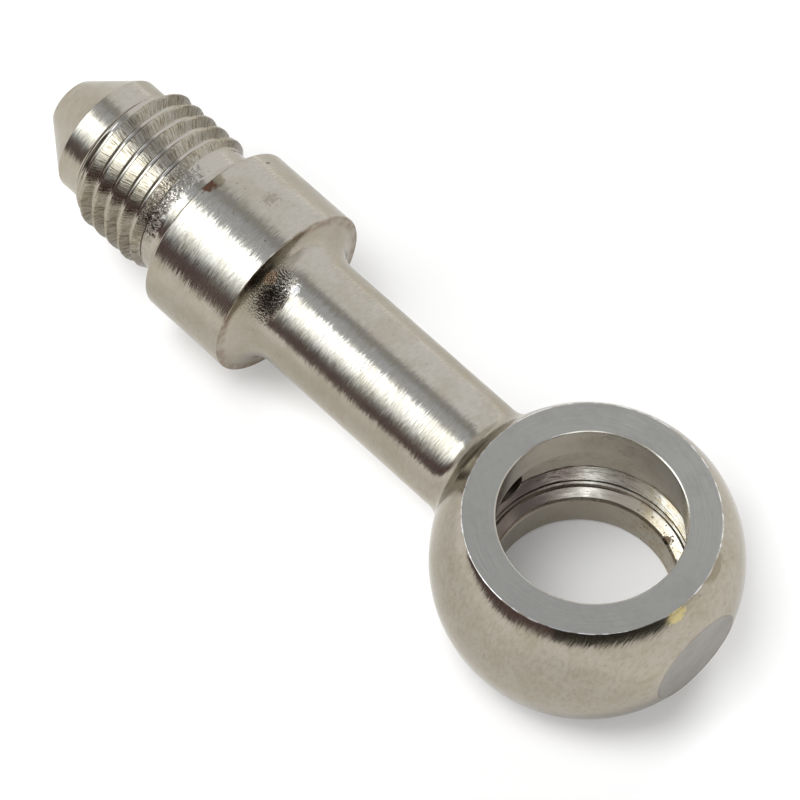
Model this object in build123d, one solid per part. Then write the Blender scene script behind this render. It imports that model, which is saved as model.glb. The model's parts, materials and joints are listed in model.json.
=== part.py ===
from build123d import *
from math import radians, sqrt, tan
import os

# Banjo fitting, turned from one bar: a ball-shaped eye that a hollow banjo bolt clamps,
# a plain neck, a round collar, a male thread and a nose cone that seats in a flared tube.
# Frame: origin at the centre of the eye's bore, +Z along the bore, +X along the tube end.
# All sizes are in millimetres.

# Eye: a ball with two sealing faces, and one small flat across its closed end
bore_diameter = 10.45
bore_rim_break = 0.05
eye_wall = 3.5
eye_thickness = 10.25
end_flat_depth = 0.52

# Gallery: the groove in the bore that leads the bolt's fluid round to the passage
land_length = 2.27
gallery_depth = 0.85
gallery_lip_chamfer = 0.25

# Neck and its blend into the ball
neck_diameter = 7.12
neck_length = 12.95
neck_blend_radius = 1.6

# Male thread, drawn at its outside diameter, with the turned-down run-out behind it
thread_diameter = 9.34
thread_length = 4.4
thread_lead_angle = 45.0
runout_depth = 0.46
runout_length = 1.92
runout_corner_radius = 0.2

# Collar: a shoulder above the thread, with a cove that sweeps down to the neck
collar_shoulder = 0.87
collar_length = 6.0
collar_back_land = 0.05
collar_back_break = 0.08
collar_front_break = 0.14

# Nose: a short cylinder inside the thread's root, then the cone that seals in a flared tube
nose_step = 0.78
nose_length = 1.54
cone_half_angle = 37.0

# Fluid passage, drilled from the tip into the gallery
passage_diameter = 2.0
passage_mouth_chamfer = 0.15
tip_wall = 0.64

# How far a cutting tool runs past the metal that it cuts
tool_overrun = 1.0

bore_radius = bore_diameter / 2
ball_radius = bore_radius + eye_wall
face_height = eye_thickness / 2
end_flat_from_bore = ball_radius - end_flat_depth
land_end = face_height - bore_rim_break - land_length
gallery_half_width = land_end - gallery_lip_chamfer
gallery_radius = bore_radius + gallery_depth
neck_radius = neck_diameter / 2
thread_radius = thread_diameter / 2
runout_radius = thread_radius - runout_depth
collar_radius = thread_radius + collar_shoulder
collar_cove_radius = collar_radius - neck_radius - collar_back_break - collar_back_land
nose_radius = thread_radius - nose_step
passage_radius = passage_diameter / 2
tip_radius = passage_radius + tip_wall

# Stations along the tube, measured from the bore's axis
blend_reach = ball_radius + neck_blend_radius
blend_height = neck_radius + neck_blend_radius
neck_start = sqrt(blend_reach**2 - blend_height**2)
neck_end = neck_start + neck_length
collar_back = neck_end + collar_cove_radius
collar_front = collar_back + collar_length
runout_front = collar_front + runout_length
thread_back = runout_front + runout_depth / tan(radians(thread_lead_angle))
thread_front = thread_back + thread_length
nose_back = thread_front + nose_step / tan(radians(thread_lead_angle))
nose_front = nose_back + nose_length
tip_face = nose_front + (nose_radius - tip_radius) / tan(radians(cone_half_angle))


def ball_outline():
    """Outline of the eye above the tube's axis: end flat, ball, and the blend into the neck."""
    flat_edge = Vector(-end_flat_from_bore, sqrt(ball_radius**2 - end_flat_from_bore**2))
    blend_centre = Vector(neck_start, blend_height)
    on_ball = blend_centre * (ball_radius / blend_reach)
    on_neck = Vector(neck_start, neck_radius)
    towards_metal = (on_ball + on_neck - blend_centre * 2).normalized()
    Line((-end_flat_from_bore, 0), flat_edge)
    ThreePointArc(flat_edge, (0, ball_radius), on_ball)
    ThreePointArc(on_ball, blend_centre + towards_metal * neck_blend_radius, on_neck)


def collar_outline():
    """Outline of the neck, the cove up to the collar, the collar, and the corner under it."""
    cove_centre = Vector(neck_end, neck_radius + collar_cove_radius)
    corner = runout_corner_radius
    Line((neck_start, neck_radius), (neck_end, neck_radius))
    CenterArc(cove_centre, collar_cove_radius, -90, 90)
    Polyline(
        (collar_back, cove_centre.Y),
        (collar_back, collar_radius - collar_back_break),
        (collar_back + collar_back_break, collar_radius),
        (collar_front - collar_front_break, collar_radius),
        (collar_front, collar_radius - collar_front_break),
        (collar_front, runout_radius + corner),
    )
    CenterArc((collar_front + corner, runout_radius + corner), corner, 180, 90)


def thread_outline():
    """Outline of the run-out, the thread at its outside diameter, the nose and its cone."""
    Polyline(
        (collar_front + runout_corner_radius, runout_radius),
        (runout_front, runout_radius),
        (thread_back, thread_radius),
        (thread_front, thread_radius),
        (nose_back, nose_radius),
        (nose_front, nose_radius),
        (tip_face, tip_radius),
        (tip_face, 0),
        (-end_flat_from_bore, 0),
    )


def turned_blank():
    """The bar as it leaves the lathe: one outline, turned about the tube's axis."""
    with BuildSketch(Plane.XY) as section:
        with BuildLine():
            ball_outline()
            collar_outline()
            thread_outline()
        make_face()
    return revolve(section.sketch, Axis.X, 360)


def facing_cuts():
    """The caps that facing takes off the ball, above and below the two sealing faces."""
    side = 2 * ball_radius
    depth = ball_radius - face_height + tool_overrun
    cap = Box(side, side, depth)
    lift = face_height + depth / 2
    return Pos(0, 0, lift) * cap + Pos(0, 0, -lift) * cap


def bore_cut():
    """The bore with its broken rims and the gallery between its two lands, turned about Z."""
    rim = face_height - bore_rim_break
    past_face = face_height + tool_overrun
    past_radius = bore_radius + bore_rim_break + tool_overrun
    with BuildSketch(Plane.XZ) as section:
        with BuildLine():
            Polyline(
                (gallery_radius, -gallery_half_width),
                (bore_radius + gallery_lip_chamfer, -gallery_half_width),
                (bore_radius, -land_end),
                (bore_radius, -rim),
                (past_radius, -past_face),
                (0, -past_face),
                (0, past_face),
                (past_radius, past_face),
                (bore_radius, rim),
                (bore_radius, land_end),
                (bore_radius + gallery_lip_chamfer, gallery_half_width),
                (gallery_radius, gallery_half_width),
                close=True,
            )
        make_face()
    return revolve(section.sketch, Axis.Z, 360)


def passage_cut():
    """The drilled way from the tip into the gallery, with its mouth broken at the tip."""
    from_base = (Align.CENTER, Align.CENTER, Align.MIN)
    drill = Cylinder(passage_radius, tip_face + tool_overrun, align=from_base)
    depth = passage_mouth_chamfer + tool_overrun
    mouth = Cone(passage_radius, passage_radius + depth, depth, align=from_base)
    return Rot(0, 90, 0) * (drill + Pos(0, 0, tip_face - passage_mouth_chamfer) * mouth)


def banjo_fitting():
    """The finished fitting: turned blank, faced eye, bore with gallery, drilled passage."""
    return turned_blank() - facing_cuts() - bore_cut() - passage_cut()


os.makedirs("parts", exist_ok=True)
export_step(banjo_fitting(), "parts/banjo_fitting.step")
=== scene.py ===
import json
from math import atan2, cos, degrees, pi, radians, sin, sqrt

import bpy
import numpy as np
from mathutils import Matrix, Vector


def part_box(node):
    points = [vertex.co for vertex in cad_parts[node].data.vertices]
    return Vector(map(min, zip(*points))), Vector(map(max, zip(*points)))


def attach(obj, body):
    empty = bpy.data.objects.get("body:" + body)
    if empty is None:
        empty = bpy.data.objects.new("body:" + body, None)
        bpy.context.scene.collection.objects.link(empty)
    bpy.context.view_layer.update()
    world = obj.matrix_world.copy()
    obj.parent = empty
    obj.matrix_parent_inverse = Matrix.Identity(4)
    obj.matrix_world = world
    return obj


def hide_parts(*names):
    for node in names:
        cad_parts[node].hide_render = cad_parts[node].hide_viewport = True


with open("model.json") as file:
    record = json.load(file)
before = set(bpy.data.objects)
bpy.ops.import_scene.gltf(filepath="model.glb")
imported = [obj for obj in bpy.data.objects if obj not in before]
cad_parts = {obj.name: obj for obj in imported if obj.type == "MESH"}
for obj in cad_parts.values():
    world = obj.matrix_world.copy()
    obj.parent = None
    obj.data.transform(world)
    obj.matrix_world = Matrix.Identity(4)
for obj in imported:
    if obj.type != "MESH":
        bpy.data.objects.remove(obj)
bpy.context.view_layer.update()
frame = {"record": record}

# A banjo fitting turned from one bar: ball-shaped eye, neck, collar, male thread and nose cone.
# Its whole skin is one closed mesh, worked out below from its outlines and its thread.
# Sizes are in millimetres and angles in degrees until a mesh is written, which is in metres.
MM = 0.001

NODE = "banjo_fitting"

mounts = {mount["name"]: mount for mount in frame["record"]["mounts"]}
low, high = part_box(NODE)

# Sizes read from the frame
bore_radius = mounts["eye_bore"]["dims"]["r_mm"]
face_height = mounts["upper_seal_face"]["pos_m"][2] / MM
thread_radius = mounts["male_thread"]["dims"]["r_mm"]
thread_length = mounts["male_thread"]["dims"]["length_mm"]
ball_radius = high[1] / MM
collar_radius = high[2] / MM
end_flat = -low[0] / MM
tip_face = high[0] / MM

# Gallery groove in the bore, and the drilled passage that leads out of it
land_height = 2.80
lip_chamfer = 0.25
gallery_depth = 0.85
gallery_corner = 0.30
shelf_height = -2.3
lip_height = 2.62
lip_radius = 5.33
tool_mark_height = -1.98
tool_mark_depth = 0.05
port_height = 1.6
passage_radius = 1.0
mouth_chamfer = 0.15
tip_wall = 0.64

# Neck, collar and nose
neck_radius = 3.56
neck_length = 12.95
neck_blend = 1.6
cove_radius = 1.85
collar_length = 6.0
runout_radius = 4.21
runout_length = 1.92
runout_corner = 0.2
nose_radius = 3.89
nose_length = 1.54

# Small rounds left by deburring and plating
face_edge_round = 0.07
bore_edge_round = 0.06
end_flat_round = 0.05
collar_back_round = 0.07
collar_front_round = 0.14
nose_edge_round = 0.06
tip_edge_round = 0.10

# Thread: right-hand, 24 turns to 25.4 mm, with its far flanks a little steeper than its near ones.
# Its groove rises out of the bar before the run-out. Shares of a turn are counted from the root.
pitch = 25.4 / 24
root_radius = 4.03
root_half_width = 0.12
root_softness = 0.003
crest_softness = 0.0003
near_flank_run = 0.577
far_flank_run = 0.42
near_flank = (thread_radius - root_radius) * near_flank_run / pitch
far_flank = (thread_radius - root_radius) * far_flank_run / pitch
root_station = 32.579
root_angle = 67.67
groove_end = 31.95
groove_exit_slope = 0.9
crest_share = 1 - root_half_width - near_flank
crest_end = 1 - root_half_width - far_flank

# Traces of the worn die: chatter on the flanks, ripples and pits in the run-out, ridges by the nose
chatter_depth = 0.012
pit_depth = 0.022
ripple_height = 0.007
ripple_length = 0.31
ridge_height = 0.014
ridge_half_width = 0.03
ridges_from_nose = (0.46, 0.34, 0.2)
torn_from_collar = 0.9

# Columns and rows of the skin
eye_columns = 240
ball_rows = 44
neck_window = 26
end_window = 18
port_window = 11
port_rows = 26
port_columns = 2 * (2 * port_window + port_rows)
neck_columns = 2 * (2 * neck_window + ball_rows)
end_columns = 2 * (2 * end_window + ball_rows)
thread_columns = 2 * neck_columns
thread_row = pitch / 15
runout_row = 0.1


# The skin is gathered as patches of points and faces, then welded where patches meet
class Skin:
    """Patches of a closed surface, with the index of the finish on each face."""

    def __init__(self):
        self.points = []
        self.quads = []
        self.triangles = []
        self.count = 0

    def add_points(self, points):
        """Adds an array of points and gives their indices in the same layout."""
        flat = points.reshape(-1, 3)
        start = self.count
        self.points.append(flat)
        self.count += len(flat)
        return np.arange(start, self.count).reshape(points.shape[:-1])

    def grid(self, points, finish, closed=True, flip=False):
        """Quads over a grid of rows and columns; a closed grid joins its last column to its first."""
        index = self.add_points(points)
        if closed:
            index = np.concatenate([index, index[:, :1]], axis=1)
        corners = [index[:-1, :-1], index[:-1, 1:], index[1:, 1:], index[1:, :-1]]
        if flip:
            corners.reverse()
        quads = np.stack(corners, axis=-1).reshape(-1, 4)
        finishes = np.broadcast_to(finish, (points.shape[0] - 1, index.shape[1] - 1)).reshape(-1)
        self.quads.append(np.column_stack([quads, finishes]))

    def halve(self, fine, coarse, finish, flip=False):
        """Three triangles for each coarse column join a closed row to one of half as many points."""
        fine_index = self.add_points(fine)
        coarse_index = self.add_points(coarse)
        first, middle, last = fine_index[::2], fine_index[1::2], np.roll(fine_index[::2], -1)
        here, there = coarse_index, np.roll(coarse_index, -1)
        triangles = np.concatenate([
            np.column_stack([here, middle, first]),
            np.column_stack([here, there, middle]),
            np.column_stack([there, last, middle]),
        ])
        if flip:
            triangles = triangles[:, ::-1]
        self.triangles.append(np.column_stack([triangles, np.full(len(triangles), finish)]))

    def fan(self, ring, centre, finish, flip=False):
        """Triangles from a closed row to one point close a pole."""
        ring_index = self.add_points(ring)
        centre_index = self.add_points(np.array([centre], float))[0]
        centres = np.full(len(ring_index), centre_index)
        triangles = np.column_stack([ring_index, np.roll(ring_index, -1), centres])
        if flip:
            triangles = triangles[:, ::-1]
        self.triangles.append(np.column_stack([triangles, np.full(len(triangles), finish)]))

    def object(self, name, materials):
        """Welds points that lie within a ten-thousandth of a millimetre and writes the mesh."""
        points = np.concatenate(self.points)
        keys = np.floor(points / 1e-4 + 0.377).astype(np.int64)
        first, inverse = np.unique(keys, axis=0, return_index=True, return_inverse=True)[1:]
        inverse = inverse.reshape(-1)
        quads = np.concatenate(self.quads)
        triangles = np.concatenate(self.triangles)
        faces = inverse[quads[:, :4]].tolist() + inverse[triangles[:, :3]].tolist()
        finishes = np.concatenate([quads[:, 4], triangles[:, 3]]).astype(np.int32)
        mesh = bpy.data.meshes.new(name)
        mesh.from_pydata((points[first] * MM).tolist(), [], faces)
        for material in materials:
            mesh.materials.append(material)
        mesh.polygons.foreach_set("material_index", finishes)
        mesh.polygons.foreach_set("use_smooth", np.ones(len(faces), bool))
        mesh.update()
        piece = bpy.data.objects.new(name, mesh)
        bpy.context.scene.collection.objects.link(piece)
        return piece


def rounded(corners, rounds, steps=3, support=0.04):
    """A polyline whose inner corners are arcs: each arc's centre lies on the corner's bisector,
    its radius over the sine of the half angle away; one more point stands outside each arc's end."""
    corners = np.array(corners, float)
    outline = [corners[0]]
    for before, corner, after, radius in zip(corners[:-2], corners[1:-1], corners[2:], rounds):
        back = (before - corner) / np.linalg.norm(before - corner)
        ahead = (after - corner) / np.linalg.norm(after - corner)
        bisector = (back + ahead) / np.linalg.norm(back + ahead)
        half = np.arccos(np.clip(back @ ahead, -1, 1)) / 2
        reach = radius / np.tan(half)
        centre = corner + bisector * radius / np.sin(half)
        start, end = corner + back * reach - centre, corner + ahead * reach - centre
        turn = pi - 2 * half
        share = np.linspace(0, 1, steps + 1)[:, None]
        arc = (np.sin((1 - share) * turn) * start + np.sin(share * turn) * end) / np.sin(turn)
        outline.append(corner + back * (reach + support))
        outline.extend(centre + arc)
        outline.append(corner + ahead * (reach + support))
    outline.append(corners[-1])
    return np.array(outline)


def arc(centre, radius, start, end, steps):
    """Points of a circle's arc from one angle to another, both ends included."""
    angle = np.radians(np.linspace(start, end, steps + 1))
    return np.stack([centre[0] + radius * np.cos(angle), centre[1] + radius * np.sin(angle)], -1)


def angles(columns):
    """Evenly spaced angles of a closed row, in radians, from the first axis round."""
    return np.arange(columns) * 2 * pi / columns


def about_tube(stations, radii, columns):
    """Points of a surface about the tube's axis: x is the station, and y and z are the radius
    times the cosine and sine of the column's angle."""
    angle = angles(columns)[None, :]
    stations, radii = np.broadcast_arrays(stations, radii)
    stations = np.broadcast_to(stations, (len(stations), columns))
    return np.stack([stations, radii * np.cos(angle), radii * np.sin(angle)], -1)


def about_bore(outline, columns):
    """Points of a surface about the bore's axis, from an outline of (radius, height)."""
    angle = angles(columns)[None, :]
    radius, height = outline[:, :1], outline[:, 1:]
    return np.stack(np.broadcast_arrays(radius * np.cos(angle), radius * np.sin(angle), height), -1)


def window_loop(grid, half_width, middle):
    """The closed row round a window in a grid about the bore: up one side from mid height, over the
    top, down the other side and back along the foot. The middle column is the window's centre."""
    columns = grid.shape[1]
    rows = grid.shape[0] - 1
    half_rows = rows // 2
    span = np.arange(-half_width, half_width + 1)
    first = (middle + half_width) % columns
    second = (middle - half_width) % columns
    across = (middle - span) % columns
    up = grid[half_rows:rows, first]
    over = grid[rows, across[:-1]]
    down = grid[rows:0:-1, second]
    back = grid[0, across[::-1][:-1]]
    last = grid[0:half_rows, first]
    return np.concatenate([up, over, down, back, last])


def smooth_noise(rows, columns, along, around, seed):
    """Noise with wavelengths near those numbers of rows and columns, which closes round the tube:
    white noise times a Gaussian of the frequency, scaled to a spread of one."""
    white = np.random.default_rng(seed).standard_normal((rows, columns))
    row_frequency = np.fft.fftfreq(rows)[:, None] * along
    column_frequency = np.fft.fftfreq(columns)[None, :] * around
    window = np.exp(-(row_frequency ** 2 + column_frequency ** 2) * 2)
    field = np.real(np.fft.ifft2(np.fft.fft2(white) * window))
    return field / field.std()


def step_between(value, start, end):
    """0 before start, 1 after end, and a smooth cubic between them."""
    share = np.clip((value - start) / (end - start), 0, 1)
    return share * share * (3 - 2 * share)


# Stations along the tube
blend_height = neck_radius + neck_blend
neck_start = sqrt((ball_radius + neck_blend) ** 2 - blend_height ** 2)
neck_end = neck_start + neck_length
collar_back = neck_end + cove_radius
collar_front = collar_back + collar_length
runout_front = collar_front + runout_length
thread_back = runout_front + thread_radius - runout_radius
thread_front = thread_back + thread_length
nose_back = thread_front + thread_radius - nose_radius
nose_front = nose_back + nose_length
tip_radius = passage_radius + tip_wall
flat_centre = end_flat - end_flat_round
end_flat_radius = sqrt((ball_radius - end_flat_round) ** 2 - flat_centre ** 2)
gallery_radius = bore_radius + gallery_depth

# Finishes, by their place in the skin's list of materials
TURNED, FACED, BORED, THREADED, DRILLED = range(5)


def neck_and_collar(skin):
    """Blend out of the ball, neck, cove, collar and the outer part of the collar's front face."""
    on_ball = degrees(atan2(-blend_height, -neck_start))
    blend = arc((neck_start, blend_height), neck_blend, on_ball, -90, 12)
    neck = np.stack([np.linspace(neck_start, neck_end, 12)[1:-1], np.full(10, neck_radius)], -1)
    cove = arc((neck_end, neck_radius + cove_radius), cove_radius, -90, 0, 18)
    face_middle = (collar_radius + runout_radius) / 2
    collar = rounded(
        [cove[-1], (collar_back, collar_radius), (collar_front, collar_radius), (collar_front, face_middle)],
        [collar_back_round, collar_front_round],
    )
    outline = np.concatenate([blend, neck, cove[:-1], collar])
    points = about_tube(outline[:, :1], outline[:, 1:], neck_columns)
    skin.grid(points, TURNED)
    inner = about_tube(np.array([[collar_front]]), np.array([[face_middle - 0.15]]), thread_columns)
    skin.halve(inner[0], points[-1], TURNED)
    return points[0], inner[0]


def thread_radii(stations, angle):
    """Radius of the run-out and the thread. The bar's outline is cut by a helical groove: the groove's
    radius rises on both sides of its flat root, and the lesser of the two radii stays."""
    bar = rounded(
        [
            (collar_front, runout_radius + 1),
            (collar_front, runout_radius),
            (runout_front, runout_radius),
            (thread_back, thread_radius),
            (thread_front, thread_radius),
            (nose_back, nose_radius),
            (nose_front, nose_radius),
        ],
        [runout_corner, 0.15, 0.08, 0.08, 0.05],
    )
    blank = np.interp(stations, bar[2:, 0], bar[2:, 1])
    turns = (stations - root_station) / pitch - (np.degrees(angle) - root_angle) / 360
    from_root = np.mod(turns + crest_share, 1) - crest_share
    rise = (np.abs(from_root) - root_half_width) / np.where(from_root > 0, near_flank, far_flank)
    rise = (rise + np.sqrt(rise ** 2 + root_softness)) / 2
    groove = root_radius + (thread_radius - root_radius) * rise
    groove = groove + np.maximum(groove_end - (stations - from_root * pitch), 0) * groove_exit_slope
    gap = blank - groove
    radius = (blank + groove - np.sqrt(gap ** 2 + crest_softness)) / 2
    return np.minimum(radius, blank), from_root


def thread(skin, collar_ring):
    """Run-out, helical thread and nose, with the chatter and the pits of a worn die."""
    start, torn_from = collar_front + runout_corner, collar_front + torn_from_collar
    end = nose_back + 0.12
    smooth_rows = np.arange(start, torn_from - runout_row / 2, runout_row)
    fine_rows = np.linspace(torn_from, end, int((end - torn_from) / thread_row) + 2)
    stations = np.concatenate([smooth_rows, fine_rows])[:, None]
    rows = len(stations)
    angle = angles(thread_columns)[None, :]
    radii, from_root = thread_radii(stations, angle)
    chatter = smooth_noise(rows, thread_columns, 8, 3.2, 3)
    flank = step_between(np.abs(from_root), root_half_width + 0.02, root_half_width + 0.12)
    on_thread = step_between(stations, thread_back - 0.1, thread_back + 0.3)
    on_thread = on_thread * (1 - step_between(stations, thread_front, nose_back - 0.2))
    radii = radii - chatter_depth * np.abs(chatter) * flank * on_thread
    pits = smooth_noise(rows, thread_columns, 3.5, 4.5, 8)
    pitted = step_between(stations, collar_front + 0.85, collar_front + 1.25)
    pitted = pitted * (1 - step_between(stations, thread_back, thread_back + 0.45))
    side = 0.35 + 0.65 * (1 - step_between(np.abs(np.degrees(angle) - 50), 45, 70))
    radii = radii - pit_depth * np.clip(np.abs(pits) - 0.4, 0, 2) * pitted * side
    ripple = ripple_height * np.cos(2 * pi * (stations - collar_front) / ripple_length)
    smooth_part = step_between(stations, collar_front + 0.3, collar_front + 0.6)
    smooth_part = smooth_part * (1 - step_between(stations, runout_front, thread_back))
    radii = radii + ripple * smooth_part
    for reach in ridges_from_nose:
        radii = radii + ridge_height * np.exp(-((stations - (nose_back - reach)) / ridge_half_width) ** 2)
    corner = arc((start, runout_radius + runout_corner), runout_corner, 180, 270, 4)[:-1]
    inner = np.concatenate([collar_ring[None], about_tube(corner[:, :1], corner[:, 1:], thread_columns)])
    body = about_tube(stations, radii, thread_columns)
    nose = rounded(
        [
            (end + 0.02, nose_radius),
            (nose_front, nose_radius),
            (tip_face, tip_radius),
            (tip_face, tip_radius - 0.14),
        ],
        [nose_edge_round, tip_edge_round],
    )
    nose_points = about_tube(nose[:, :1], nose[:, 1:], thread_columns)
    points = np.concatenate([inner, body, nose_points])
    threaded = (points[:-1, 0, 0] > torn_from - 0.01) & (points[:-1, 0, 0] < nose_back)
    finish = np.where(threaded, THREADED, TURNED)[:, None]
    skin.grid(points, finish)
    return points[-1]


def tip_and_passage(skin, tip_ring, port_ring):
    """The tip's flat ring, stepped down to the passage's columns, its mouth, and the bored way in."""
    middle = about_tube(np.array([[tip_face]]), np.array([[tip_radius - 0.24]]), neck_columns)[0]
    inner_radius = passage_radius + mouth_chamfer + 0.05
    inner = about_tube(np.array([[tip_face]]), np.array([[inner_radius]]), port_columns)[0]
    skin.halve(tip_ring, middle, TURNED, flip=True)
    skin.halve(middle, inner, TURNED, flip=True)
    mouth = rounded(
        [
            (tip_face, inner_radius),
            (tip_face, passage_radius + mouth_chamfer),
            (tip_face - mouth_chamfer, passage_radius),
            (gallery_radius + 0.3, passage_radius),
        ],
        [0.02, 0.02], steps=2, support=0.01,
    )
    way = about_tube(mouth[:, :1], mouth[:, 1:], port_columns)
    skin.grid(np.concatenate([way, port_ring[None]]), DRILLED)


def ball(skin, neck_ring, top_edge):
    """The eye's ball between its sealing faces: a grid about the bore with two windows. Each
    window is filled up to its circle by points drawn between the two rows and set on the ball."""
    elevation = np.linspace(-top_edge, top_edge, ball_rows + 1)
    outline = ball_radius * np.stack([np.cos(elevation), np.sin(elevation)], -1)
    grid = about_bore(outline, eye_columns)
    half = eye_columns // 2
    side = grid[:, neck_window:half - end_window + 1]
    skin.grid(side, TURNED, closed=False)
    other = grid[:, half + end_window:eye_columns - neck_window + 1]
    skin.grid(other, TURNED, closed=False)
    patch_on_ball(skin, window_loop(grid, neck_window, 0), neck_ring, 12)
    scale = ball_radius / (ball_radius - end_flat_round)
    ball_side = about_tube(
        np.array([[-flat_centre * scale]]), np.array([[end_flat_radius * scale]]), end_columns,
    )[0]
    loop = window_loop(grid[:, ::-1], end_window, half - 1)
    patch_on_ball(skin, loop, ball_side, 16, flip=True)
    start = degrees(atan2(end_flat_radius, -flat_centre))
    edge = arc((-flat_centre, end_flat_radius), end_flat_round, start, 180, 4)
    inward = [(-end_flat, end_flat_radius * share) for share in (0.985, 0.9, 0.7, 0.45, 0.2)]
    rows = np.array([*edge, *inward])
    disc = about_tube(rows[:, :1], rows[:, 1:], end_columns)
    skin.grid(disc, FACED, flip=True)
    skin.fan(disc[-1], (-end_flat, 0, 0), FACED, flip=True)


def patch_on_ball(skin, outer, inner, steps, flip=False):
    """Rows between a window's edge and a circle: straight between their points, then pushed out to
    the ball's radius."""
    share = np.linspace(0, 1, steps + 1)[:, None, None]
    rows = outer[None] * (1 - share) + inner[None] * share
    rows = rows / np.linalg.norm(rows, axis=-1, keepdims=True) * ball_radius
    rows[0], rows[-1] = outer, inner
    skin.grid(rows, TURNED, flip=flip)


def eye_faces_and_bore(skin):
    """Both sealing faces, the bore's lands and the gallery, with a window for the passage's port."""
    edge_centre = sqrt((ball_radius - face_edge_round) ** 2 - (face_height - face_edge_round) ** 2)
    top_edge = atan2(face_height - face_edge_round, edge_centre)
    wall = bore_radius + lip_chamfer
    rim = arc((edge_centre, face_height - face_edge_round), face_edge_round, degrees(top_edge), 90, 4)
    rim[0] = ball_radius * cos(top_edge), ball_radius * sin(top_edge)
    upper = rounded(
        [
            rim[-1],
            (bore_radius + 0.08, face_height),
            (bore_radius, face_height - 0.036),
            (bore_radius, land_height),
            (wall, land_height - lip_chamfer),
            (gallery_radius, land_height - lip_chamfer),
            (gallery_radius, port_height),
        ],
        [0.01, 0.015, 0.03, 0.03, gallery_corner], support=0.02,
    )
    face_support = np.array([[edge_centre - 0.05, face_height]])
    upper = np.concatenate([rim, face_support, upper[1:]])
    lower = rounded(
        [
            (gallery_radius, -port_height),
            (gallery_radius, tool_mark_height + 0.05),
            (gallery_radius + tool_mark_depth, tool_mark_height),
            (gallery_radius - 0.04, tool_mark_height - 0.07),
            (gallery_radius - 0.04, shelf_height),
            (lip_radius, -lip_height),
            (bore_radius, -land_height - 0.04),
            (bore_radius, -face_height),
            (edge_centre, -face_height),
        ],
        [0.02, 0.01, 0.02, gallery_corner, 0.03, 0.03, bore_edge_round], support=0.02,
    )
    lower = np.concatenate([lower[:-1], (face_support * (1, -1)), rim[::-1] * (1, -1)])
    for outline in (upper, lower):
        points = about_bore(outline, eye_columns)
        on_face = np.abs(outline[:-1, 1] + outline[1:, 1]) / 2 > face_height - 1e-6
        finish = np.where(on_face, FACED, BORED)[:, None]
        rim_rows = outline[:-1, 0] + outline[1:, 0] > 2 * edge_centre
        finish[rim_rows[:, None]] = TURNED
        skin.grid(points, finish)
    return top_edge


def port(skin):
    """The gallery's wall beside the port. Its curve is where the passage's circle meets the wall:
    x is the root of the wall's radius squared less y squared."""
    heights = np.linspace(-port_height, port_height, port_rows + 1)
    outline = np.stack([np.full(len(heights), gallery_radius), heights], -1)
    grid = about_bore(outline, eye_columns)
    around = grid[:, port_window:eye_columns - port_window + 1]
    skin.grid(around, BORED, closed=False, flip=True)
    outer = window_loop(grid, port_window, 0)
    angle = angles(port_columns)
    inner_angle = np.arcsin(passage_radius * np.cos(angle) / gallery_radius)
    inner_height = passage_radius * np.sin(angle)
    outer_angle = np.arctan2(outer[:, 1], outer[:, 0])
    share = np.linspace(0, 1, 7)[:, None]
    wall_angle = outer_angle * (1 - share) + inner_angle * share
    height = outer[:, 2] * (1 - share) + inner_height * share
    rows = np.stack([gallery_radius * np.cos(wall_angle), gallery_radius * np.sin(wall_angle), height], -1)
    rows[0] = outer
    skin.grid(rows, BORED, flip=True)
    return rows[-1]


def fitting_skin():
    """The whole fitting as one closed skin."""
    skin = Skin()
    neck_ring, collar_ring = neck_and_collar(skin)
    tip_ring = thread(skin, collar_ring)
    tip_and_passage(skin, tip_ring, port(skin))
    top_edge = eye_faces_and_bore(skin)
    ball(skin, neck_ring, top_edge)
    return skin


# Shader nodes
def is_socket(value):
    """Whether a value comes out of a node, and isn't a constant."""
    return isinstance(value, bpy.types.NodeSocket)


def node(tree, kind, values=(), **settings):
    """A node with some of its settings, and its inputs by name or number: a socket is linked and
    anything else is its value."""
    made = tree.nodes.new(kind)
    for name, value in settings.items():
        setattr(made, name, value)
    for key, value in dict(values).items():
        if is_socket(value):
            tree.links.new(value, made.inputs[key])
        else:
            made.inputs[key].default_value = value
    return made


def joined(kind, values, **settings):
    """A node in the tree that the first socket among its inputs is in."""
    tree = next(value.id_data for value in values.values() if is_socket(value))
    return node(tree, kind, values, **settings)


def maths(operation, *inputs):
    """The result of a Math node."""
    return joined("ShaderNodeMath", dict(enumerate(inputs)), operation=operation).outputs[0]


def product(first, *factors):
    """Several values multiplied together."""
    for factor in factors:
        first = maths("MULTIPLY", first, factor)
    return first


def apart(value, other):
    """How far one value is from another, either way."""
    return maths("ABSOLUTE", maths("SUBTRACT", value, other))


def off_axis(first, second):
    """The distance from an axis: the root of the sum of the squares of both places across it."""
    squares = [maths("POWER", value, 2.0) for value in (first, second)]
    return maths("SQRT", maths("ADD", *squares))


def vector_maths(operation, *inputs, **named):
    """The vector that a Vector Math node gives."""
    values = {**dict(enumerate(inputs)), **named}
    return joined("ShaderNodeVectorMath", values, operation=operation).outputs[0]


def vector(x=0.0, y=0.0, z=0.0):
    """A vector put together from its three parts."""
    return joined("ShaderNodeCombineXYZ", {0: x, 1: y, 2: z}).outputs[0]


def ramp(value, low_value, high_value, from_low=0.0, from_high=1.0):
    """A value mapped smoothly from one range to another and held at its ends."""
    inputs = {0: value, 1: from_low, 2: from_high, 3: low_value, 4: high_value}
    return joined("ShaderNodeMapRange", inputs, interpolation_type="SMOOTHSTEP").outputs[0]


def between(value, rise_from, rise_to, fall_from, fall_to):
    """1 between two smooth slopes, and 0 on both sides of them."""
    rise = ramp(value, 0, 1, rise_from, rise_to)
    return product(rise, ramp(value, 1, 0, fall_from, fall_to))


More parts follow.
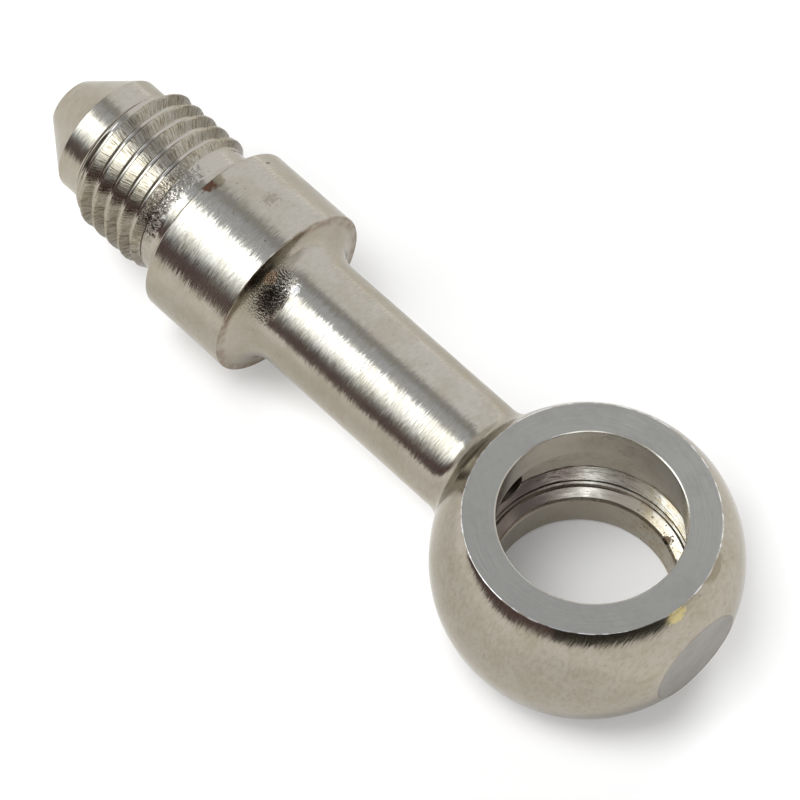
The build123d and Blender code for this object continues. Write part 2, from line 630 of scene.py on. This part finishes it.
def mixed(share, first, second):
    """Two colours mixed by a share from 0 to 1."""
    first, second = [colour if is_socket(colour) else (*colour, 1) for colour in (first, second)]
    return joined("ShaderNodeMix", {0: share, 6: first, 7: second}, data_type="RGBA").outputs[2]


def noise(place, scale, detail=2.0, roughness=0.5):
    """The factor of a noise texture, about 0.5 with a spread of some 0.1."""
    inputs = {"Vector": place, "Scale": scale, "Detail": detail, "Roughness": roughness}
    return joined("ShaderNodeTexNoise", inputs).outputs[0]


def stretched(place, scale):
    """A vector scaled differently along its three axes."""
    return joined("ShaderNodeMapping", {"Vector": place, "Scale": scale}).outputs[0]


def new_group(name, inputs, outputs):
    """A shader node group with named inputs, given with their defaults, and named outputs."""
    group = bpy.data.node_groups.new(name, "ShaderNodeTree")
    for socket, (kind, default) in inputs.items():
        made = group.interface.new_socket(socket, in_out="INPUT", socket_type=kind)
        made.default_value = default
    for socket, kind in outputs.items():
        group.interface.new_socket(socket, in_out="OUTPUT", socket_type=kind)
    return group, group.nodes.new("NodeGroupInput").outputs, group.nodes.new("NodeGroupOutput")


def tool_marks_group():
    """Fine marks of the cutting tool. Place holds the millimetres along the feed in X, where the
    marks follow one another, and across it in Y and Z, where they run on."""
    group, given, result = new_group(
        "tool_marks",
        {"Place": ("NodeSocketVector", (0, 0, 0)), "Fineness": ("NodeSocketFloat", 6.0)},
        {"Height": "NodeSocketFloat"},
    )
    fine = noise(stretched(given["Place"], (1, 0.10, 0.10)), given["Fineness"])
    group.links.new(fine, result.inputs["Height"])
    return group


def tarnish_group():
    """Cloudy stain and small dark specks over the plating."""
    group, given, result = new_group(
        "tarnish",
        {"Place": ("NodeSocketVector", (0, 0, 0)), "Size": ("NodeSocketFloat", 0.35)},
        {"Cloud": "NodeSocketFloat", "Specks": "NodeSocketFloat"},
    )
    cloud = noise(given["Place"], given["Size"], 6.0, 0.7)
    group.links.new(ramp(cloud, 0, 1, 0.40, 0.64), result.inputs["Cloud"])
    specks = noise(given["Place"], 3.4)
    group.links.new(ramp(specks, 0, 1, 0.70, 0.76), result.inputs["Specks"])
    return group


def blotch_group():
    """A ragged mark of given size round one place: 1 inside it and 0 outside."""
    group, given, result = new_group(
        "blotch",
        {
            "Place": ("NodeSocketVector", (0, 0, 0)),
            "Centre": ("NodeSocketVector", (0, 0, 0)),
            "Stretch": ("NodeSocketVector", (1, 1, 1)),
            "Ragged": ("NodeSocketFloat", 0.5),
            "Grain": ("NodeSocketFloat", 3.0),
        },
        {"Mask": "NodeSocketFloat"},
    )
    away = vector_maths("SUBTRACT", given["Place"], given["Centre"])
    scaled = vector_maths("MULTIPLY", away, given["Stretch"])
    reach = joined("ShaderNodeVectorMath", {0: scaled}, operation="LENGTH").outputs["Value"]
    edge = maths("SUBTRACT", noise(given["Place"], given["Grain"], 3.0, 0.6), 0.5)
    shifted = maths("MULTIPLY_ADD", edge, given["Ragged"], reach)
    group.links.new(ramp(shifted, 1, 0, 0.7, 1.1), result.inputs["Mask"])
    return group


tool_marks = tool_marks_group()
tarnish = tarnish_group()
blotch = blotch_group()

# Colours of the plated steel, of what has marked it, and of painted shade, glint, highlight and bounce light
plate = (0.384, 0.350, 0.291)
plate_clouded = (0.336, 0.299, 0.228)
mottle_colour = (0.250, 0.218, 0.160)
bare_steel = (0.358, 0.342, 0.303)
stained_steel = (0.285, 0.268, 0.238)
end_flat_colour = (0.285, 0.272, 0.256)
# Painted shade: the drilled passage's steel is made dark for the shade inside it
drilled_steel = (0.10, 0.085, 0.07)
worn_edge_and_highlight_colour = (0.74, 0.71, 0.67)
edge_tint = (0.84, 0.83, 0.81)
bore_painted_shade_colour = (0.16, 0.125, 0.10)
edge_film_colour = (0.19, 0.12, 0.085)
speck_colour = (0.13, 0.10, 0.07)
smudge_colour = (0.045, 0.033, 0.028)
bronze_colour = (0.66, 0.47, 0.34)
painted_glint_colour = (0.95, 0.87, 0.76)
crust_and_crevice_shade_colour = (0.035, 0.022, 0.012)
rust_colour = (0.112, 0.060, 0.038)
rust_edge_colour = (0.16, 0.12, 0.06)
residue_colour = (0.32, 0.26, 0.17)
yellow_stain = (0.68, 0.56, 0.20)
painted_bounce_colour = (0.305, 0.262, 0.186)
thread_dirt = (0.10, 0.075, 0.045)
pit_colour = (0.075, 0.055, 0.042)

# Depths of marks that are too fine for the mesh and only shade it
turned_mark_depth = 0.012
faced_mark_depth = 0.008
bored_mark_depth = 0.010
drilled_grain_depth = 0.02
torn_cove_depth = 0.05
torn_thread_depth = 0.010
shaded_pit_depth = 0.030

# Stations between which the ball's smoother finish passes into the neck's
ball_ends, tube_starts = 7.5, 9.5
turned_lean = 0.195


def on_tube(station, radius, angle):
    """A place on a surface about the tube, in millimetres."""
    return (station, radius * cos(radians(angle)), radius * sin(radians(angle)))


class Finish:
    """A material on metal being put together: its tree, its place in millimetres and its colour."""

    def __init__(self, name):
        self.material = bpy.data.materials.new(name)
        self.material.use_nodes = True
        self.tree = self.material.node_tree
        self.shader = self.tree.nodes["Principled BSDF"]
        self.shader.inputs["Metallic"].default_value = 1.0
        self.shader.inputs["Specular Tint"].default_value = (*edge_tint, 1)
        coordinate = node(self.tree, "ShaderNodeTexCoord").outputs["Object"]
        self.place = stretched(coordinate, (1 / MM, 1 / MM, 1 / MM))

    def axes(self):
        """The three coordinates of the place."""
        return node(self.tree, "ShaderNodeSeparateXYZ", {0: self.place}).outputs

    def angle(self):
        """The angle about the tube, in degrees from +Y towards +Z."""
        parts = self.axes()
        return maths("DEGREES", maths("ARCTAN2", parts[2], parts[1]))

    def in_scene(self, direction, kind="VECTOR"):
        """A direction given on the object, as it lies in the scene."""
        settings = {"vector_type": kind, "convert_from": "OBJECT", "convert_to": "WORLD"}
        return node(self.tree, "ShaderNodeVectorTransform", {0: direction}, **settings).outputs[0]

    def surface(self):
        """The surface's own normal."""
        return node(self.tree, "ShaderNodeNewGeometry").outputs["Normal"]

    def group(self, group, **inputs):
        """The outputs of a shader node group placed in this material."""
        return node(self.tree, "ShaderNodeGroup", inputs, node_tree=group).outputs

    def mask(self, centre, stretch, ragged, grain):
        """1 in a ragged mark round one place, and 0 outside it."""
        given = {"Centre": centre, "Stretch": stretch, "Ragged": ragged, "Grain": grain}
        return self.group(blotch, Place=self.place, **given)["Mask"]

    def mark(self, colour, tint, strength, centre, stretch, ragged, grain):
        """The colour with a ragged mark of another tint round one place."""
        mask = self.mask(centre, stretch, ragged, grain)
        return mixed(product(mask, strength), colour, tint)

    def leaning(self, amount):
        """The surface's normal, leant about the tube's axis by an amount in radians."""
        surface = self.surface()
        aside = vector_maths("CROSS_PRODUCT", self.in_scene((1, 0, 0)), surface)
        aside = vector_maths("SCALE", aside, Scale=amount)
        return vector_maths("NORMALIZE", vector_maths("ADD", surface, aside))

    def finish(self, colour, roughness, heights, normal=None):
        """Links the colour and roughness, and a chain of Bump nodes from (height, distance) pairs."""
        self.tree.links.new(colour, self.shader.inputs["Base Color"])
        self.tree.links.new(roughness, self.shader.inputs["Roughness"])
        for height, distance in heights:
            values = {"Height": height, "Distance": distance * MM, "Strength": 1.0}
            if normal is not None:
                values["Normal"] = normal
            normal = node(self.tree, "ShaderNodeBump", values).outputs[0]
        self.tree.links.new(normal, self.shader.inputs["Normal"])
        return self.material


def turned_finish():
    """Plated and turned about the tube's axis, so the feed runs along X. The ball is smoother than
    the tube and mottled. Fine lines lean the normal to either side about the axis, as streaks."""
    made = Finish("turned_plate")
    place = made.place
    along, _, height = made.axes()
    stain = made.group(tarnish, Place=place, Size=0.5)
    colour = mixed(product(stain["Cloud"], 0.7), plate, plate_clouded)
    mottle = noise(stretched(place, (5.0, 2.2, 2.2)), 1.0, 3.0, 0.65)
    mottle = product(ramp(mottle, 0, 0.34, 0.42, 0.66), ramp(along, 1, 0.45, ball_ends, 10.5))
    colour = mixed(mottle, colour, mottle_colour)
    colour = mixed(product(stain["Specks"], 0.5), colour, speck_colour)

    # Rust spot at the collar's front edge and two marks behind it
    rust_edge = on_tube(collar_front - 0.28, collar_radius, 88)
    colour = made.mark(colour, rust_edge_colour, 0.6, rust_edge, (1.9, 1.5, 1.5), 1.2, 3.0)
    rust = made.mask(on_tube(collar_front - 0.22, collar_radius, 84.5), (2.5, 2.2, 2.2), 2.2, 5.0)
    colour = mixed(rust, colour, rust_colour)
    short_line = on_tube(collar_front - 0.873, collar_radius, 128)
    colour = made.mark(colour, speck_colour, 0.8, short_line, (9.0, 4.5, 4.5), 0.4, 6.0)
    cluster = on_tube(collar_front - 3.203, collar_radius, 105)
    colour = made.mark(colour, speck_colour, 0.35, cluster, (2.8, 2.0, 2.0), 5.0, 7.0)

    # Burnt patch in the cove, with a bronze spot and a painted glint beside it
    burnt = on_tube(neck_end + 0.8, neck_radius + 0.3, 54)
    colour = made.mark(colour, smudge_colour, 0.68, burnt, (1.3, 1.05, 1.05), 2.0, 6.5)
    bronze = on_tube(neck_end + 1.5, neck_radius + 0.85, 68)
    colour = made.mark(colour, bronze_colour, 0.85, bronze, (2.4, 2.0, 2.0), 1.2, 5.0)
    # Painted glint: a small bright spot coloured in to stand for a highlight
    painted_glint = on_tube(neck_end + 0.25, neck_radius + 0.1, 74)
    colour = made.mark(colour, painted_glint_colour, 1.0, painted_glint, (3.2, 2.4, 2.4), 2.6, 6.0)

    # Worn plating and a painted highlight on the eye's edges, two stains by its upper face, the collar's
    # brown back edge
    worn = noise(place, 1.6, 2.0, 0.6)
    # Worn plating and painted highlight: a pale, broken line along the ball's rims by both faces
    worn_and_highlit_edge = product(
        ramp(maths("ABSOLUTE", height), 0, 1, face_height - 0.075, face_height - 0.03),
        ramp(along, 1, 0, ball_ends, 8.5),
        ramp(worn, 0.05, 0.9, 0.44, 0.56),
    )
    colour = mixed(worn_and_highlit_edge, colour, worn_edge_and_highlight_colour)
    colour = made.mark(colour, yellow_stain, 0.55, (-7.12, 0.95, 4.96), (1.9, 1.5, 1.9), 1.6, 4.0)
    colour = made.mark(colour, rust_edge_colour, 0.5, (-6.6, -2.6, 5.0), (1.2, 0.75, 2.0), 1.4, 2.5)
    back_edge = ramp(apart(along, collar_back + 0.02), 0.6, 0, 0.02, 0.10)
    back_edge = product(back_edge, ramp(worn, 0.2, 1, 0.42, 0.58))
    colour = mixed(back_edge, colour, edge_film_colour)

    roughness = maths("MULTIPLY_ADD", stain["Cloud"], 0.06, 0.17)
    roughness = product(roughness, ramp(along, 0.68, 1, ball_ends, tube_starts))
    roughness = maths("MULTIPLY_ADD", rust, 0.4, roughness)

    torn = product(
        noise(stretched(place, (9.0, 9.0, 9.0)), 1.0, 1.0),
        between(along, neck_end + 0.1, neck_end + 0.6, collar_back - 0.5, collar_back),
        between(made.angle(), 24, 44, 70, 90),
    )
    past_ball = ramp(along, 0.42, 1, ball_ends, tube_starts)
    marks = made.group(tool_marks, Place=place, Fineness=13.0)["Height"]
    heights = [(torn, torn_cove_depth), (product(marks, past_ball), turned_mark_depth)]
    lines = made.group(tool_marks, Place=place, Fineness=14.0)["Height"]
    lean = product(maths("SUBTRACT", lines, 0.5), past_ball, turned_lean)
    return made.finish(colour, roughness, heights, made.leaning(lean))


def faced_finish():
    """Cut flat about the bore's axis: the marks are circles, so the feed is the distance from it.
    The eye's end flat is darker, with a brown edge."""
    made = Finish("faced_steel")
    place = made.place
    x, y, z = made.axes()
    marks = made.group(tool_marks, Place=vector(off_axis(x, y), x, y), Fineness=6.0)["Height"]
    cloud = made.group(tarnish, Place=place, Size=0.5)["Cloud"]
    colour = mixed(product(cloud, 0.55), bare_steel, stained_steel)
    on_end = ramp(x, 0.8, 0, 0.055 - end_flat, 0.155 - end_flat)
    colour = mixed(on_end, colour, end_flat_colour)
    brown_rim = product(
        on_end,
        ramp(off_axis(y, z), 0, 0.6, end_flat_radius - 0.3, end_flat_radius),
        ramp(noise(place, 1.2), 0, 1, 0.4, 0.6),
    )
    colour = mixed(brown_rim, colour, edge_film_colour)
    roughness = maths("MULTIPLY_ADD", cloud, 0.08, 0.30)
    return made.finish(colour, roughness, [(marks, faced_mark_depth)])


def bored_finish():
    """Bored about Z: the marks are rings, so the feed runs along the bore's height. The gallery's
    lower part is slightly hollow, so its normal leans upward, the more the lower it is."""
    made = Finish("bored_plate")
    place = made.place
    x, y, z = made.axes()
    marks = made.group(tool_marks, Place=vector(z, x, y), Fineness=7.0)["Height"]
    stain = made.group(tarnish, Place=place, Size=0.5)
    colour = mixed(product(stain["Cloud"], 0.5), plate, plate_clouded)
    colour = mixed(product(stain["Specks"], 0.6), colour, speck_colour)
    # Painted shade: darker over the gallery's lower part, shelf and lower lip on the side towards the tube
    bore_painted_shade = between(z, -land_height - 0.05, -land_height + 0.15, -0.45, -0.15)
    bore_painted_shade = product(bore_painted_shade, ramp(x, 0, 1, 3.9, 5.0))
    colour = mixed(bore_painted_shade, colour, bore_painted_shade_colour)

    # Residue and crust on one side of the bore's lower half
    wet = product(ramp(x, 1, 0, 0.2, 1.8), ramp(y, 1, 0, -4.6, -3.0), ramp(z, 1, 0, -0.2, 0.2))
    patch = ramp(noise(place, 1.4, 3.0, 0.6), 0.1, 0.9, 0.4, 0.6)
    colour = mixed(product(wet, patch), colour, residue_colour)
    dirt = ramp(noise(place, 6.0, 2.0, 0.6), 0, 1, 0.61, 0.68)
    colour = mixed(product(wet, dirt), colour, crust_and_crevice_shade_colour)
    colour = made.mark(colour, crust_and_crevice_shade_colour, 0.95, (-1.45, -5.15, -2.55), (2.6, 2.6, 3.2), 3.0, 6.0)
    roughness = maths("MULTIPLY_ADD", stain["Cloud"], 0.10, 0.18)

    in_gallery = ramp(off_axis(x, y), 0, 1, gallery_radius - 0.12, gallery_radius - 0.06)
    wavy = maths("MULTIPLY_ADD", marks, 0.5, -0.25)
    hollow = ramp(maths("MULTIPLY_ADD", wavy, 0.8, z), 0.70, 0.02, -0.45, -0.15)
    lean = product(maths("MULTIPLY_ADD", wavy, 0.25, hollow), in_gallery)
    level = maths("SUBTRACT", 1.0, maths("ABSOLUTE", lean))
    surface = vector_maths("SCALE", made.surface(), Scale=level)
    normal = vector_maths("ADD", surface, made.in_scene(vector(z=lean)))
    normal = vector_maths("NORMALIZE", normal)
    return made.finish(colour, roughness, [(marks, bored_mark_depth)], normal)


def drilled_finish():
    """The drilled passage, dull, and coloured dark inside as painted shade."""
    made = Finish("drilled_steel")
    grain = noise(made.place, 3.0)
    colour = mixed(grain, drilled_steel, speck_colour)
    roughness = maths("MULTIPLY_ADD", grain, 0.2, 0.4)
    return made.finish(colour, roughness, [(grain, drilled_grain_depth)])


def threaded_finish():
    """Thread cut by a worn die. Its root is smooth. The flank that faces the eye and the crest are
    torn along the tube, and send light back and forth between the turns, so they shade as the bar's
    own outside would. The run-out behind the thread is pitted on one side."""
    made = Finish("threaded_plate")
    place = made.place
    along, aside, height = made.axes()
    angle = made.angle()
    turns = maths("DIVIDE", maths("SUBTRACT", along, root_station), pitch)
    turned = maths("DIVIDE", maths("SUBTRACT", angle, root_angle), 360.0)
    share = maths("FRACT", maths("SUBTRACT", turns, turned))
    band = product(
        between(share, root_half_width + 0.01, root_half_width + 0.06, crest_end - 0.01, crest_end + 0.03),
        between(along, runout_front - 0.45, runout_front + 0.1, nose_back - 0.55, nose_back - 0.4),
    )

    # Streaks run straight down the flanks, because they follow the direction out of the tube
    outward = vector_maths("NORMALIZE", vector(y=aside, z=height))
    around = stretched(outward, (1, 75.0, 75.0))
    drawn = vector_maths("ADD", around, stretched(place, (2.2, 0, 0)))
    torn = noise(drawn, 1.0, 2.0, 0.6)
    patchy = noise(place, 1.3, 3.0, 0.6)
    # Painted reflection: a darker khaki tint on the bands, for light passed back and forth between the turns
    painted_bounce = product(band, ramp(patchy, 0.35, 1, 0.3, 0.55), ramp(torn, 0.35, 1, 0.42, 0.52))
    colour = mixed(painted_bounce, plate, painted_bounce_colour)
    dirt = product(band, ramp(torn, 0, 0.8, 0.50, 0.63), ramp(patchy, 0.25, 1, 0.38, 0.60))
    colour = mixed(dirt, colour, thread_dirt)
    # Painted shade: a dark line in the groove beside the root, where the thread leaves the run-out, round 12
    # degrees
    painted_crevice_shade = product(
        ramp(apart(share, root_half_width + 0.07), 1, 0, 0.02, 0.07),
        ramp(along, 1, 0, thread_back + 0.1, thread_back + 0.5),
        ramp(apart(angle, 12.0), 0.9, 0, 22, 40),
    )
    colour = mixed(painted_crevice_shade, colour, crust_and_crevice_shade_colour)
    roughness = maths("MULTIPLY_ADD", band, 0.02, 0.14)

    side = between(angle, 14, 38, 80, 96)
    runout = between(along, runout_front - 0.95, runout_front - 0.45, thread_back - 0.2, thread_back + 0.25)
    pits = ramp(noise(stretched(place, (6.5, 10.0, 10.0)), 1.0), 0, 1, 0.46, 0.62)
    # Darker on one side of the run-out, less so above 56 degrees, and most where the pit noise is low
    runout_darkening = product(runout, side, ramp(angle, 1, 0.35, 56, 70), ramp(pits, 0.8, 0, 0.15, 0.75))
    colour = mixed(runout_darkening, colour, pit_colour)
    pits = product(pits, runout, maths("MULTIPLY_ADD", side, 0.85, 0.15))
    shares = {0: product(band, 0.96), 4: made.surface(), 5: made.in_scene(outward, "NORMAL")}
    normal = joined("ShaderNodeMix", shares, data_type="VECTOR").outputs[1]
    normal = vector_maths("NORMALIZE", normal)
    heights = [(product(torn, band), torn_thread_depth), (pits, shaded_pit_depth)]
    return made.finish(colour, roughness, heights, normal)


# Studio: a pale floor that five soft lamps light, and a pale room of panels that only the metal
# reflects: a softbox, a grey card, a pale wall, an overhead cloth, and brown and black screens.
# Its own lengths are in metres. The floor's foot, heel and the aprons' lift are in millimetres.
stage_radius = 0.7
softbox_strength = 5.2
softbox_colour = (0.86, 0.935, 1.03)
wall_strength = 1.37
overhead_strength = 4.0
card_colour = (0.76, 0.83, 0.98)
cool_white = (0.89, 0.93, 1.0)
brown_colour = (0.17, 0.12, 0.125)
black_colour = (0.055, 0.052, 0.046)
room_colour = (0.81, 0.81, 0.82)
room_dimmed = 0.11
lamp_distance = 0.85
lamp_size = 0.42
floor_lift = 0.15
floor_half_side = 2.0
apron_lift = 0.3

# The floor touches the eye's lower edge and the collar's, so the fitting lies tilted on it
floor_foot = (-7.06, -face_height)
floor_heel = (collar_back + 0.05, -collar_radius)
floor_slope = (floor_heel[1] - floor_foot[1]) / (floor_heel[0] - floor_foot[0])


def glow(name, colour, strength, foot=None, rise=(0, 1)):
    """A material that only shines: evenly, or from a strength at the panel's foot to another above,
    changing between two shares of its height."""
    material = bpy.data.materials.new(name)
    material.use_nodes = True
    tree = material.node_tree
    tree.nodes.clear()
    if foot is not None:
        shares = node(tree, "ShaderNodeTexCoord").outputs["UV"]
        up = node(tree, "ShaderNodeSeparateXYZ", {0: shares}).outputs[1]
        strength = ramp(up, foot, strength, *rise)
    shine = node(tree, "ShaderNodeEmission", {"Color": (*colour, 1), "Strength": strength})
    node(tree, "ShaderNodeOutputMaterial", {"Surface": shine.outputs[0]})
    return material


def curved_panel(name, point, material, columns=24, rows=24):
    """A panel in metres from a function of two shares from 0 to 1, with the shares as its UV."""
    across, up = np.meshgrid(np.linspace(0, 1, columns + 1), np.linspace(0, 1, rows + 1))
    points = np.stack(np.broadcast_arrays(*point(across, up)), -1).reshape(-1, 3)
    index = np.arange(len(points)).reshape(rows + 1, columns + 1)
    quads = np.stack([index[:-1, :-1], index[:-1, 1:], index[1:, 1:], index[1:, :-1]], -1).reshape(-1, 4)
    mesh = bpy.data.meshes.new(name)
    mesh.from_pydata(points.tolist(), [], quads.tolist())
    mesh.materials.append(material)
    shares = np.stack([across.reshape(-1), up.reshape(-1)], -1)[quads.reshape(-1)]
    mesh.uv_layers.new(name="UVMap").data.foreach_set("uv", shares.reshape(-1))
    panel = bpy.data.objects.new(name, mesh)
    bpy.context.scene.collection.objects.link(panel)
    return panel


def reflected_panel(name, point, material):
    """A panel that shows in shiny metal, but casts no shadow or light and isn't seen by the camera."""
    panel = curved_panel(name, point, material)
    panel.visible_camera = False
    panel.visible_diffuse = False
    panel.visible_shadow = False
    panel.visible_transmission = False
    panel.visible_volume_scatter = False


def over_tube(start, end, from_x, to_x):
    """A panel curved about the tube's axis between two angles above +Y."""
    def point(across, up):
        angle = np.radians(start + (end - start) * up)
        return from_x + (to_x - from_x) * across, stage_radius * np.cos(angle), stage_radius * np.sin(angle)
    return point


def on_dome(start, end, foot, top, inside):
    """A panel on a sphere inside the studio's wall, between two azimuths and two elevations."""
    def point(across, up):
        azimuth = np.radians(start + (end - start) * across)
        elevation = np.radians(foot + (top - foot) * up)
        radius = stage_radius - inside
        flat = radius * np.cos(elevation)
        return flat * np.cos(azimuth), flat * np.sin(azimuth), radius * np.sin(elevation)
    return point


def floor_level(x, lift=0.0):
    """The floor's height in metres at x in metres: a straight slope along the tube."""
    return (floor_foot[1] - floor_slope * floor_foot[0] + lift) * MM + floor_slope * x


def floor_square(across, up):
    """The floor itself."""
    x = floor_half_side * (2 * across - 1)
    return x, floor_half_side * (2 * up - 1), floor_level(x)


def on_floor(start, end, shares, inner_radii):
    """A panel just above the floor between two azimuths, from an inner radius given at shares of the
    way round, out to the studio's wall."""
    def point(across, up):
        azimuth = np.radians(start + (end - start) * across)
        inner = np.interp(across, shares, inner_radii)
        radius = inner + (stage_radius - inner) * up
        x = radius * np.cos(azimuth)
        return x, radius * np.sin(azimuth), floor_level(x, apron_lift)
    return point


def seen_directly(tree):
    """1 for rays from the camera, off metal or through glass, and 0 for those that light the floor."""
    path = node(tree, "ShaderNodeLightPath")
    seen = maths("MAXIMUM", path.outputs["Is Camera Ray"], path.outputs["Is Glossy Ray"])
    return maths("MAXIMUM", seen, path.outputs["Is Transmission Ray"])


def floor_lamp(name, azimuth, elevation, power):
    """A round lamp that lights the floor only, so that the fitting's shadow lies on it."""
    data = bpy.data.lights.new(name, "AREA")
    data.shape = "DISK"
    data.size = lamp_size
    data.energy = power
    lamp = bpy.data.objects.new(name, data)
    azimuth, elevation = radians(azimuth), radians(elevation)
    flat = cos(elevation)
    direction = Vector((flat * cos(azimuth), flat * sin(azimuth), sin(elevation)))
    lamp.location = direction * lamp_distance
    lamp.rotation_euler = direction.to_track_quat("Z", "Y").to_euler()
    lamp.visible_glossy = False
    bpy.context.scene.collection.objects.link(lamp)


def room():
    """Room light: full where it is seen or reflected, and dimmed where it would light the floor."""
    world = bpy.data.worlds.new("pale_room")
    world.use_nodes = True
    tree = world.node_tree
    background = tree.nodes["Background"]
    background.inputs["Color"].default_value = (*room_colour, 1)
    tree.links.new(ramp(seen_directly(tree), room_dimmed, 1), background.inputs["Strength"])
    bpy.context.scene.world = world


def pale_floor():
    """The floor that the fitting rests on, a little lighter to the eye than the lamps make it."""
    material = bpy.data.materials.new("pale_floor")
    material.use_nodes = True
    tree = material.node_tree
    shader = tree.nodes["Principled BSDF"]
    shader.inputs["Base Color"].default_value = (0.85, 0.85, 0.85, 1)
    shader.inputs["Roughness"].default_value = 0.9
    shader.inputs["Specular IOR Level"].default_value = 0.1
    shader.inputs["Emission Color"].default_value = (1, 1, 1, 1)
    lift = product(seen_directly(tree), floor_lift)
    tree.links.new(lift, shader.inputs["Emission Strength"])
    curved_panel("floor", floor_square, material, 1, 1)


def studio():
    """Room, floor and lamps, and the panels that the metal reflects."""
    room()
    softbox_cloth = glow("softbox_cloth", softbox_colour, softbox_strength, 0.15, (0.04, 0.76))
    wall_paint = glow("pale_wall", cool_white, wall_strength, 0.55, (0.14, 0.225))
    grey_card = glow("grey_card", card_colour, 1.0)
    overhead_cloth = glow("overhead_cloth", softbox_colour, overhead_strength)
    brown_cloth = glow("brown_cloth", brown_colour, 1.0)
    black_cloth = glow("black_cloth", black_colour, 1.0)
    reflected_panel("softbox", over_tube(16, 74.3, 0.2, 0.9), softbox_cloth)
    reflected_panel("grey_card", over_tube(74.3, 98, -0.9, 0.9), grey_card)
    reflected_panel("pale_wall", over_tube(98, 186, -0.9, 0.9), wall_paint)
    reflected_panel("brown_screen", on_dome(25, 112, -3, 17, 0.05), brown_cloth)
    reflected_panel("black_screen", on_dome(112, 187, -3, 15, 0.05), black_cloth)
    reflected_panel("black_front", on_dome(98, 190, 15, 63, 0.06), black_cloth)
    reflected_panel("overhead", on_dome(125, 195, 67, 80, 0.06), overhead_cloth)
    floor_lamp("high_lamp", 45, 74, 2.7)
    floor_lamp("front_high_lamp", 75, 74, 1.12)
    floor_lamp("main_lamp", 45, 50, 1.74)
    floor_lamp("low_front_lamp", 120, 12, 8.1)
    floor_lamp("low_back_lamp", 300, 12, 8.5)
    pale_floor()
    brown_apron = on_floor(40, 112, [0, 0.55, 0.75, 1], [0.10, 0.10, 0.17, 0.3])
    black_apron = on_floor(112, 186, [0, 0.38, 0.9, 1], [0.22, 0.22, 0.09, 0.12])
    reflected_panel("brown_apron", brown_apron, brown_cloth)
    reflected_panel("black_apron", black_apron, black_cloth)


# Camera, worked out from the photograph's outlines
camera_place = (-62.245, 80.512, 196.002)
camera_turn = (1.11465, -2.64934, 0.70737)
focal_pixels = 4009.6
image_pixels = 800
sensor_width = 36


def camera():
    """The photograph's view: its place, its three directions and a long lens. The turn is an axis
    whose length is the angle in radians."""
    data = bpy.data.cameras.new("camera")
    data.sensor_width = sensor_width
    data.lens = focal_pixels / image_pixels * sensor_width
    data.clip_start = 0.02
    data.clip_end = 20
    turn = Matrix.Rotation(np.linalg.norm(camera_turn), 3, camera_turn)
    pose = Matrix([turn[0], -turn[1], -turn[2]]).transposed().to_4x4()
    pose.translation = [value * MM for value in camera_place]
    made = bpy.data.objects.new("camera", data)
    made.matrix_world = pose
    bpy.context.scene.collection.objects.link(made)
    bpy.context.scene.camera = made


skin = fitting_skin()
finishes = [turned_finish(), faced_finish(), bored_finish(), threaded_finish(), drilled_finish()]
fitting = skin.object("fitting", finishes)
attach(fitting, "root")
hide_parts(NODE)
studio()
camera()
bpy.context.scene.view_settings.view_transform = "Standard"
